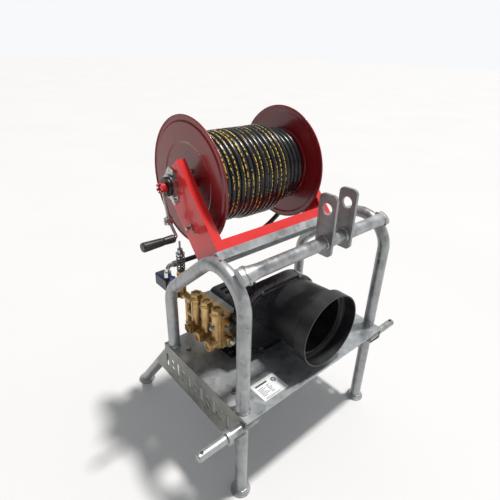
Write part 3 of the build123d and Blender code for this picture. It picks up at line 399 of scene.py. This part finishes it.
# The discs and drum take a much deeper red than the stand: partly their own deeper paint, partly painted
# shade on their side faces.
disc_red_with_painted_shade = red_paint("disc_red_with_painted_shade", (0.19, 0.008, 0.012), (0.26, 0.011, 0.015), 0.03)
shaft_red = red_paint("shaft_red", (0.60, 0.02, 0.02), (0.74, 0.03, 0.03), 0.04)
zinc = bright_metal("zinc_plating", (0.50, 0.51, 0.50), (0.20, 0.38), 70, 0.12, 0.6)
dull_zinc = bright_metal("dull_zinc_plating", (0.42, 0.42, 0.40), (0.30, 0.50), 60, 0.2, 0.6)
dark_steel = bright_metal("dark_spring_steel", (0.07, 0.07, 0.075), (0.25, 0.42), 90, 0.15, 0.5)
machined = bright_metal("machined_steel", (0.50, 0.50, 0.51), (0.22, 0.38), 110, 0.15, 0.6)
brass = brass_casting("cast_brass")
case_black = black_enamel("gearbox_black", (0.012, 0.012, 0.015), 0.05, (0.16, 0.34), 220, 0.12)
crankcase_black = black_enamel("crankcase_black", (0.014, 0.015, 0.020), 0.10, (0.30, 0.50), 300, 0.3)
bracket_black = black_enamel("bracket_black", (0.012, 0.012, 0.013), 0.08, (0.35, 0.5), 260, 0.2)
guard_black = black_plastic("guard_black")
grip_black = black_plastic("grip_black", (0.014, 0.014, 0.014), (0.30, 0.48), 0.06)
spring_black = black_enamel("spring_black", (0.010, 0.010, 0.010), 0.03, (0.25, 0.4), 300, 0.2)
grey_casting = bright_metal("grey_casting", (0.40, 0.41, 0.42), (0.35, 0.52), 150, 0.35, 0.7)
ceramic = plain_gloss("white_ceramic", (0.86, 0.86, 0.82), (0.78, 0.78, 0.74), (0.08, 0.2))
blue_handle = plain_gloss("blue_handle", (0.010, 0.13, 0.50), (0.012, 0.09, 0.36), (0.25, 0.42), 90, 0.2, 0.2)
blue_block = plain_gloss("dark_blue_block", (0.012, 0.022, 0.060), (0.035, 0.045, 0.075), (0.25, 0.45),
                         80, 0.25)
label_white = plain_gloss("label_white", (0.84, 0.85, 0.86), (0.76, 0.77, 0.78), (0.25, 0.42), 60, 0.05)

paint(tube_zinc, "hoop_left", "hoop_right", "rear_legs", "feet", "crossbar", "hitch_pin_left",
      "hitch_pin_right")
paint(plate_zinc_painted_light, "platform")
paint(skirt_zinc_painted_shade, "skirt_left", "skirt_right")
paint(channel_zinc_painted_light, "reel_channel")
paint(ear_zinc_painted_shade, "link_plates")
paint(weld_zinc, "weld_beads")
paint(stand_red, "reel_stand")
paint(disc_red_with_painted_shade, "disc_left", "disc_right", "reel_drum")
paint(shaft_red, "reel_shaft")
paint(zinc, "bearing_flanges", "bearing_bolts", "stand_bolts", "brake_housing", "brake_plunger",
      "crank_rods", "crank_joint", "platform_fasteners", "feed_fittings", "unloader_nut", "spring_plate")
paint(dull_zinc, "disc_bolts", "head_screws", "cover_bolts", "guard_ring")
paint(dark_steel, "bearing_inserts")
paint(spring_black, "unloader_spring")
paint(machined, "input_gear", "input_shaft", "pinion", "pump_crankshaft")
paint(brass, "pump_head", "valve_caps", "brass_fittings", "swivel")
paint(case_black, "gearbox_case", "gearbox_cover")
paint(crankcase_black, "crankcase", "crankcase_details")
paint(bracket_black, "pump_bracket")
paint(guard_black, "pto_guard")
paint(grip_black, "crank_grip")
paint(grey_casting, "crankcase_flange")
paint(ceramic, "plungers")
paint(small_plastics("small_plastics"), "plastic_caps")
paint(blue_handle, "valve_knob")
paint(blue_block, "valve_block")
paint(threaded_chrome("bright_plating"), "bright_fittings")
paint(label_white, "rating_plate")


# ---- mesh pieces --------------------------------------------------------------------
def new_piece(name, corners, faces, finish, body, slot_name, smooth=True, runs=None):
    """A visible piece that rides on a body. runs holds each face's coordinates along and round a hose."""
    mesh = bpy.data.meshes.new(name)
    mesh.from_pydata([tuple(corner) for corner in corners], [], faces)
    if runs:
        layer = mesh.uv_layers.new(name="run")
        for face, spots in zip(mesh.polygons, runs):
            for loop, spot in zip(face.loop_indices, spots):
                layer.data[loop].uv = spot
    mesh.materials.append(finish)
    for face in mesh.polygons:
        face.use_smooth = smooth
    mesh.update()
    piece = bpy.data.objects.new(name, mesh)
    bpy.context.scene.collection.objects.link(piece)
    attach(piece, body)
    return piece


def tube(path, radius, sides=14, closed=False, lumps=0.0, seed=0.0):
    """Corners, faces and run coordinates of a tube along a path, lumpy like a weld if lumps is set."""
    count = len(path)
    corners, faces, runs = [], [], []
    length = [0.0]
    for before, here in zip(path, path[1:]):
        length.append(length[-1] + (here - before).length)
    normal = None
    for index, here in enumerate(path):
        ahead = path[(index + 1) % count] if closed else path[min(index + 1, count - 1)]
        behind = path[index - 1] if closed or index else path[0]
        tangent = (ahead - behind).normalized()
        if normal is None:
            start = Vector((1, 0, 0)) if abs(tangent.x) < 0.8 else Vector((0, 0, 1))
            normal = (start - tangent * start.dot(tangent)).normalized()
        normal = (normal - tangent * normal.dot(tangent)).normalized()
        side = tangent.cross(normal)
        for turn in range(sides):
            angle = TAU * turn / sides
            out = normal * math.cos(angle) + side * math.sin(angle)
            grow = radius * (1 + lumps * noise.noise((here + out * radius) * 160 + Vector((seed, 0, 0))))
            corners.append(here + out * grow)
    rings = count if closed else count - 1
    for ring in range(rings):
        follow = (ring + 1) % count
        for turn in range(sides):
            beside = (turn + 1) % sides
            faces.append((ring * sides + turn, ring * sides + beside,
                          follow * sides + beside, follow * sides + turn))
            u0 = length[ring]
            u1 = length[ring + 1] if ring + 1 < count else u0
            v0, v1 = turn / sides, (turn + 1) / sides
            runs.append(((u0, v0), (u0, v1), (u1, v1), (u1, v0)))
    if not closed:
        faces.append(tuple(reversed(range(sides))))
        faces.append(tuple(range((count - 1) * sides, count * sides)))
        runs.append(((0, 0),) * sides)
        runs.append(((length[-1], 0),) * sides)
    return corners, faces, runs


# ---- wound hose ---------------------------------------------------------------------
REEL_Y, REEL_Z = 378.0, 1007.0
HOSE_R = 9.6
TURN_STEPS = 72                          # points in each turn of the hose
TOP_TURNS, LOW_TURNS = 15.0, 4.4         # turns of the outer layer, and of the one below it
TOP_START, TOP_END, LOW_END = -240.0, 52.0, 139.0
TOP_RADIUS, LOW_RADIUS = 138.6, 119.8
START_ANGLE = math.radians(200)
FIRST_RISE = 14.0                        # how far the first turn climbs out of the layer below
SWAY, LIFT, SAG = 2.4, 0.8, 11.0         # how far turns wander, rise and hang


def wind_point(x, angle, radius):
    return at(x, REEL_Y + radius * math.cos(angle), REEL_Z + radius * math.sin(angle))


def eased(value):
    """A share of 0 to 1, with a soft start and end."""
    value = min(1.0, max(0.0, value))
    return value * value * (3 - 2 * value)


def top_place(turns):
    """X and radius on the outer layer, which climbs up at its start."""
    x = TOP_START + (TOP_END - TOP_START) * (turns / TOP_TURNS)
    return x, TOP_RADIUS - FIRST_RISE * (1 - eased(turns / 0.35))


def low_place(turns):
    """X and radius on the layer below, after the outer layer ends."""
    share = (turns - TOP_TURNS) / LOW_TURNS
    x = TOP_END + (LOW_END - TOP_END) * eased(share) * 0.15 + (LOW_END - TOP_END) * share * 0.85
    return x, LOW_RADIUS + (TOP_RADIUS - LOW_RADIUS) * (1 - eased((turns - TOP_TURNS) / 0.45))


def wound_path():
    """The outer layer's turns from left to right, then down a layer to the right disc."""
    points = []
    top_steps = int(TOP_TURNS * TURN_STEPS)
    low_steps = int(LOW_TURNS * TURN_STEPS)
    for step in range(top_steps + low_steps + 1):
        turns = step / TURN_STEPS
        angle = START_ANGLE + TAU * turns
        x, radius = top_place(turns) if step <= top_steps else low_place(turns)
        sway = SWAY * noise.noise(Vector((turns * 1.7, 3.1, 0.4)))
        lift = LIFT * noise.noise(Vector((turns * 2.3, 8.6, 1.9)))
        loose = eased((turns - 6.0) / 3.0) * eased((TOP_TURNS + 0.6 - turns) / 1.6)
        sag = SAG * loose * max(0.0, -math.sin(angle)) ** 2
        points.append(wind_point(x + sway, angle, radius + lift + sag))
    return points


wound_line = wound_path()
wound_corners, wound_faces, wound_runs = tube(wound_line, HOSE_R / 1000, 16)
wound_hose = new_piece("wound_hose", wound_corners, wound_faces, hose_rubber("printed_hose_rubber"), "reel",
                       "rubber_hose", runs=wound_runs)
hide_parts("hose_pack")


UNDER_START, UNDER_END = -246.0, 145.0
UNDER_STEP_X = 60.0                      # a little past the outer layer's end
UNDER_CRESTS = (119.5, 100.5)            # radius under the outer layer, and under the one below it
HOSE_PITCH = 19.8
DRUM_R = 61.0


def under_layer():
    """The layer beneath, seen only in the gaps: a ribbed sleeve down to the drum."""
    corners, faces = [], []
    around, along = 72, 120
    profile = []
    for step in range(along + 1):
        x = UNDER_START + (UNDER_END - UNDER_START) * step / along
        crest = UNDER_CRESTS[0] if x < UNDER_STEP_X else UNDER_CRESTS[1]
        profile.append((x, crest + 8 * abs(math.sin(math.pi * (x - 10) / HOSE_PITCH))))
    profile = [(profile[0][0], DRUM_R)] + profile + [(profile[-1][0], DRUM_R)]
    for x, radius in profile:
        for turn in range(around):
            corners.append(wind_point(x, TAU * turn / around, radius))
    for ring in range(len(profile) - 1):
        for turn in range(around):
            beside = (turn + 1) % around
            faces.append((ring * around + turn, ring * around + beside,
                          (ring + 1) * around + beside, (ring + 1) * around + turn))
    return corners, faces


hidden_rubber = black_plastic("hidden_hose_rubber", (0.012, 0.012, 0.013))
new_piece("wound_hose_under_layer", *under_layer(), hidden_rubber, "reel", "rubber_hose")


# ---- feed hose ----------------------------------------------------------------------
FEED_HOSE_R = 0.0095
feed_corners, feed_faces, feed_runs = tube(feed_path, FEED_HOSE_R, 20)
feed_hose = new_piece("feed_hose_run", feed_corners, feed_faces, hose_rubber("feed_hose_rubber"), "frame",
                      "rubber_hose", runs=feed_runs)
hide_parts("feed_hose")


# ---- painted glints on the hose -----------------------------------------------------
def painted_glints_on_hose():
    """Two short white bands round neighbouring turns of the hose: painted highlights standing in for glints
    on it.
    """
    white = plain_gloss("painted_glint_white", (0.84, 0.84, 0.82), (0.70, 0.70, 0.68), (0.35, 0.55), 90, 0.3)
    for number, turns in enumerate((13.62, 14.6)):
        middle = int(turns * TURN_STEPS)
        corners, faces, _ = tube(wound_line[middle - 1:middle + 2], HOSE_R / 1000 + 0.0006, 16)
        new_piece(f"hose_painted_glint_{number + 1}", corners, faces, white, "reel", "label")


painted_glints_on_hose()


# ---- welds --------------------------------------------------------------------------
X_AXIS, Y_AXIS, Z_AXIS = Vector((1, 0, 0)), Vector((0, 1, 0)), Vector((0, 0, 1))
TUBE_R = 21.2
HOOP_X = 334.0
BEND_Y, BEND_Z = 110.0, 740.2            # the middle of each hoop's front bend
CROSSBAR_Y, CROSSBAR_Z = 21.0, 856.0


def ring_path(centre, radius_a, radius_b, axis_a, axis_b, count=48):
    """Points round an ellipse, with its half widths in metres."""
    points = []
    for index in range(count):
        turn = TAU * index / count
        points.append(centre + axis_a * (radius_a * math.cos(turn)) + axis_b * (radius_b * math.sin(turn)))
    return points


def bend_path(side, count=56):
    """Points round the crossbar's flattened end, where it lies against a hoop's bend."""
    lean = math.atan2(CROSSBAR_Z - BEND_Z, CROSSBAR_Y - BEND_Y)
    along = Vector((0, -math.sin(lean), math.cos(lean)))
    square = Vector((0, math.cos(lean), math.sin(lean)))
    points = []
    for index in range(count):
        turn = TAU * index / count
        off = 15.2 * math.sin(turn)
        x = HOOP_X - math.sqrt(TUBE_R ** 2 - off ** 2)
        middle = at(side * x, CROSSBAR_Y, CROSSBAR_Z)
        points.append(middle + along * (0.0270 * math.cos(turn)) + square * (off / 1000))
    return points


def weld(name, path, radius, seed):
    corners, faces, _ = tube(path, radius, 10, True, 0.45, seed)
    return new_piece(name, corners, faces, weld_zinc, "frame", "galvanised")


for number, x in enumerate((-2.6, 8.6, 93.4, 104.6)):
    ear = ring_path(at(x, CROSSBAR_Y, CROSSBAR_Z), 0.0222, 0.0222, Y_AXIS, Z_AXIS)
    weld(f"ear_weld_{number + 1}", ear, 0.0038, number)

for number, side in enumerate((-1, 1)):
    pin = ring_path(at(side * 360, -28, 358.5), 0.0150, 0.0150, Y_AXIS, Z_AXIS)
    front_foot = ring_path(at(side * HOOP_X, 0, 13), 0.0218, 0.0218, X_AXIS, Y_AXIS)
    rear_foot = ring_path(at(side * HOOP_X, 679, 13), 0.0218, 0.0272, X_AXIS, Y_AXIS)
    weld(f"crossbar_weld_{number + 1}", bend_path(side), 0.0032, 20 + number)
    weld(f"pin_weld_{number + 1}", pin, 0.0026, 30 + number)
    weld(f"front_foot_weld_{number + 1}", front_foot, 0.0030, 40 + number)
    weld(f"rear_foot_weld_{number + 1}", rear_foot, 0.0030, 50 + number)


# ---- label --------------------------------------------------------------------------
LABEL_TOP = 392.9
LEFT_BARS = (24, 30, 20, 27, 33, 18)     # lengths down each column of bars
RIGHT_BARS = (14, 9, 17, 12, 10, 13)


def label_print():
    """Plain bars and a block of squares on the white plate, in place of its print."""
    corners, faces = [], []

    def bar(x0, x1, y0, y1):
        base = len(corners)
        corners.extend(at(x, y, LABEL_TOP) for x, y in ((x0, y0), (x1, y0), (x1, y1), (x0, y1)))
        faces.append((base, base + 1, base + 2, base + 3))

    bar(-246, -196, 36, 43)
    for row, (left, right) in enumerate(zip(LEFT_BARS, RIGHT_BARS)):
        y = 25 - row * 6.2
        bar(-248, -248 + left, y, y + 2)
        bar(-212, -212 + right, y, y + 2)
    for row in range(2):
        bar(-248, -180 - 8 * row, -16 - row * 4, -14.6 - row * 4)
    for row in range(5):
        for column in range(5):
            if (row * 3 + column * 7 + row * column) % 4:
                bar(-182 + column * 4, -178.4 + column * 4, 22 + row * 4, 25.6 + row * 4)
    ink = plain_gloss("label_ink", (0.05, 0.05, 0.055), (0.10, 0.10, 0.11), (0.4, 0.55), 90, 0.05)
    new_piece("label_bars", corners, faces, ink, "frame", "label", smooth=False)


label_print()


# ---- floor and light ----------------------------------------------------------------
DOME_TOWARD = (0.72, -0.10, 0.62)        # the dome's bright side
DOME_DARK, DOME_BRIGHT, BACKDROP = 0.06, 0.66, 0.96
SUN_TOWARD = (0.27, -0.12, 1.0)


def studio_world():
    """A soft dome, brighter on one side, that the camera sees as a plain white backdrop."""
    world = bpy.data.worlds.new("studio")
    world.use_nodes = True
    tree = world.node_tree
    background = tree.nodes["Background"]
    where = tree.nodes.new("ShaderNodeTexCoord").outputs["Generated"]
    toward = tree.nodes.new("ShaderNodeVectorMath")
    toward.operation = "DOT_PRODUCT"
    toward.inputs[1].default_value = DOME_TOWARD
    tree.links.new(where, toward.inputs[0])
    level = tree.nodes.new("ShaderNodeMapRange")
    level.inputs["From Min"].default_value = -0.6
    level.inputs["From Max"].default_value = 1.0
    level.inputs["To Min"].default_value = DOME_DARK
    level.inputs["To Max"].default_value = DOME_BRIGHT
    tree.links.new(toward.outputs["Value"], level.inputs["Value"])
    seen = tree.nodes.new("ShaderNodeMix")
    seen.inputs["B"].default_value = BACKDROP
    tree.links.new(tree.nodes.new("ShaderNodeLightPath").outputs["Is Camera Ray"], seen.inputs["Factor"])
    tree.links.new(level.outputs["Result"], seen.inputs["A"])
    background.inputs["Color"].default_value = (0.97, 0.985, 1.0, 1)
    tree.links.new(seen.outputs[0], background.inputs["Strength"])
    return world


def set_stage():
    """The floor, the dome and one sun."""
    bpy.ops.mesh.primitive_plane_add(size=80, location=(0, 0, 0))
    floor = bpy.context.object
    floor.name = "floor"
    floor.data.materials.append(pale_floor("pale_floor"))
    bpy.context.scene.world = studio_world()
    sun = bpy.data.lights.new("key", "SUN")
    sun.energy = 3.4
    sun.angle = 0.09
    sun.color = (1.0, 0.98, 0.95)
    key = bpy.data.objects.new("key", sun)
    key.rotation_euler = Vector(SUN_TOWARD).to_track_quat("Z", "Y").to_euler()
    bpy.context.scene.collection.objects.link(key)
    bpy.context.scene.view_settings.view_transform = "Standard"


set_stage()

bpy.context.view_layer.update()
